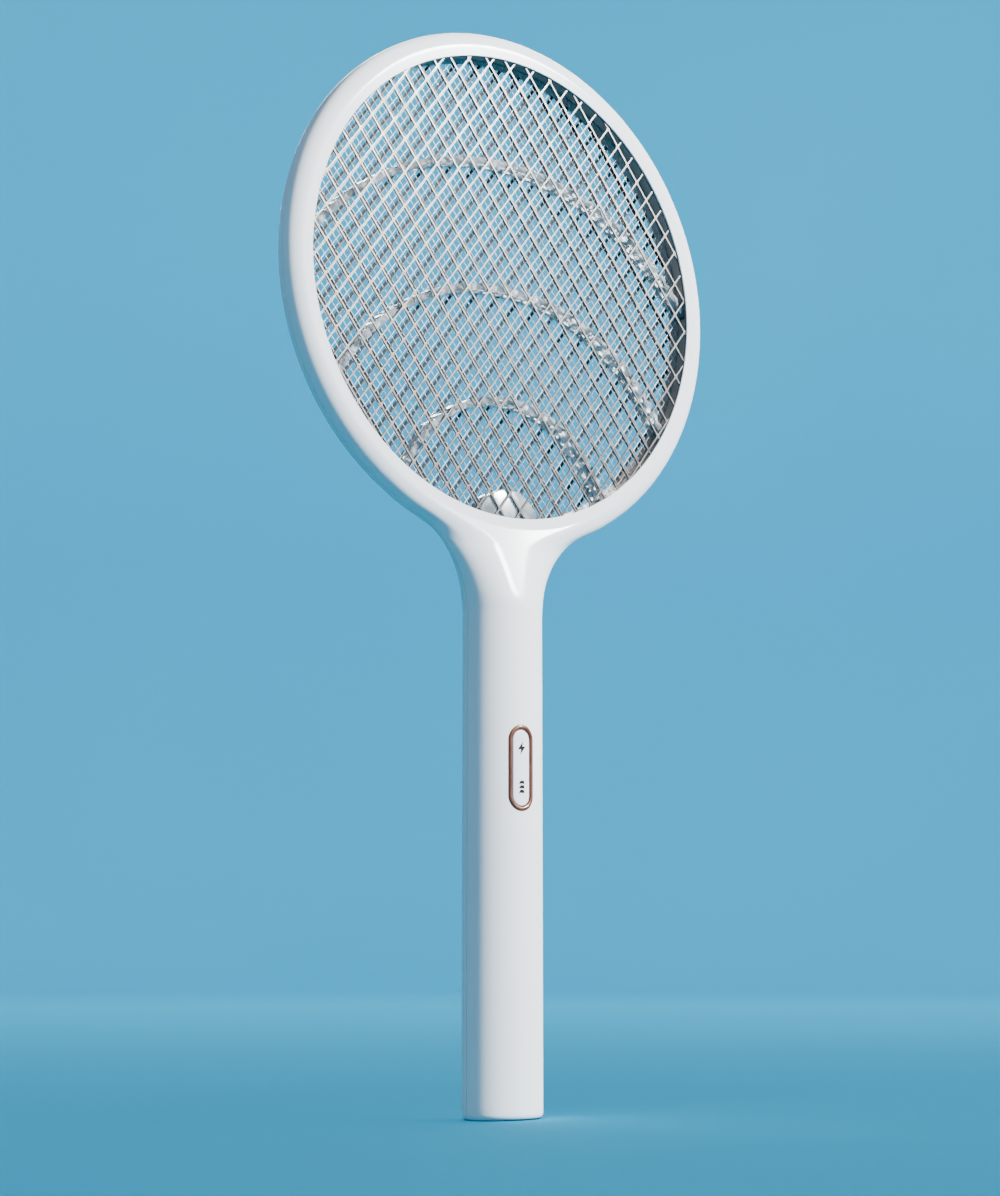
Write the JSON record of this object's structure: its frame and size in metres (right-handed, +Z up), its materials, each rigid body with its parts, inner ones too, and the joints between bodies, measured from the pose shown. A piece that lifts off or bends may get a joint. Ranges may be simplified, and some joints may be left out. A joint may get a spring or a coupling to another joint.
{
  "type": "electric fly swatter",
  "caption": "Battery electric fly swatter: oval handle with a pill button and a round head frame holding stacked metal nets.",
  "frame": {"origin": "centre of the flat end of the handle", "axes": "+Z up the handle to the head, -Y the front with the button, +X to the right seen from the front"},
  "size_m": [0.2184, 0.0255, 0.45],
  "materials": {
    "casing_white": "satin moulded ABS, fine orange peel",
    "button_white": "satin moulded ABS with two printed icons",
    "frame_dark": "dark grey insulating plastic, satin",
    "net_metal": "bright expanded net, light tarnish",
    "wire_metal": "bright thin wire",
    "spacer_clear": "clear moulded polycarbonate",
    "bezel_copper": "copper plated trim, polished",
    "steel": "plated sheet steel",
    "screw_steel": "zinc plated",
    "board_green": "glass epoxy with solder mask",
    "black_plastic": "moulded, fine grain",
    "ferrite": "sintered ferrite, dull",
    "winding": "yellow winding tape",
    "film_red": "dipped epoxy",
    "resistor_tan": "lacquered, banded",
    "cell_wrap": "shrink film over a steel can",
    "lead_red": "silicone insulation",
    "lead_black": "silicone insulation",
    "led_white": "chip LED"
  },
  "bodies": {
    "casing": {"front_shell": "casing_white", "rear_shell": "casing_white", "end_cap": "casing_white", "front_net": "net_metal", "rear_net": "net_metal", "centre_net": "wire_metal", "net_frame_rear": "frame_dark", "net_frame_front": "frame_dark", "spacer_rear": "spacer_clear", "spacer_front": "spacer_clear", "button_bezel": "bezel_copper", "switch_body": "black_plastic", "light_guide": "spacer_clear", "led_1": "led_white", "led_2": "led_white", "led_3": "led_white", "main_board": "board_green", "transformer_core": "ferrite", "transformer_winding": "winding", "hv_capacitor_1": "film_red", "hv_capacitor_2": "film_red", "hv_diode_1": "black_plastic", "hv_diode_2": "black_plastic", "hv_diode_3": "black_plastic", "hv_diode_4": "black_plastic", "bleed_resistor": "resistor_tan", "drive_transistor": "black_plastic", "battery_cell": "cell_wrap", "battery_cradle": "black_plastic", "battery_tab_negative": "steel", "battery_tab_positive": "steel", "charge_board": "board_green", "usb_shell": "steel", "usb_tongue": "black_plastic", "battery_lead_negative": "lead_black", "battery_lead_positive": "lead_red", "hv_lead_centre": "lead_red", "hv_lead_front": "lead_red", "hv_lead_rear": "lead_red", "screw_1": "screw_steel", "screw_2": "screw_steel", "screw_3": "screw_steel", "screw_4": "screw_steel"},
    "button": {"button_cap": "button_white"},
    "plunger": {"switch_plunger": "steel"}
  },
  "joints": [
    {"name": "button_press", "type": "slide", "parent": "casing", "child": "button", "axis": [0, 1, 0], "range_m": [0, 0.0008], "stiffness_N_per_m": 400},
    {"name": "plunger_press", "type": "slide", "parent": "casing", "child": "plunger", "axis": [0, 1, 0], "range_m": [0, 0.0008], "stiffness_N_per_m": 400}
  ],
  "couplings": [
    {"joint": "plunger_press", "follows": "button_press", "ratio": 1}
  ]
}
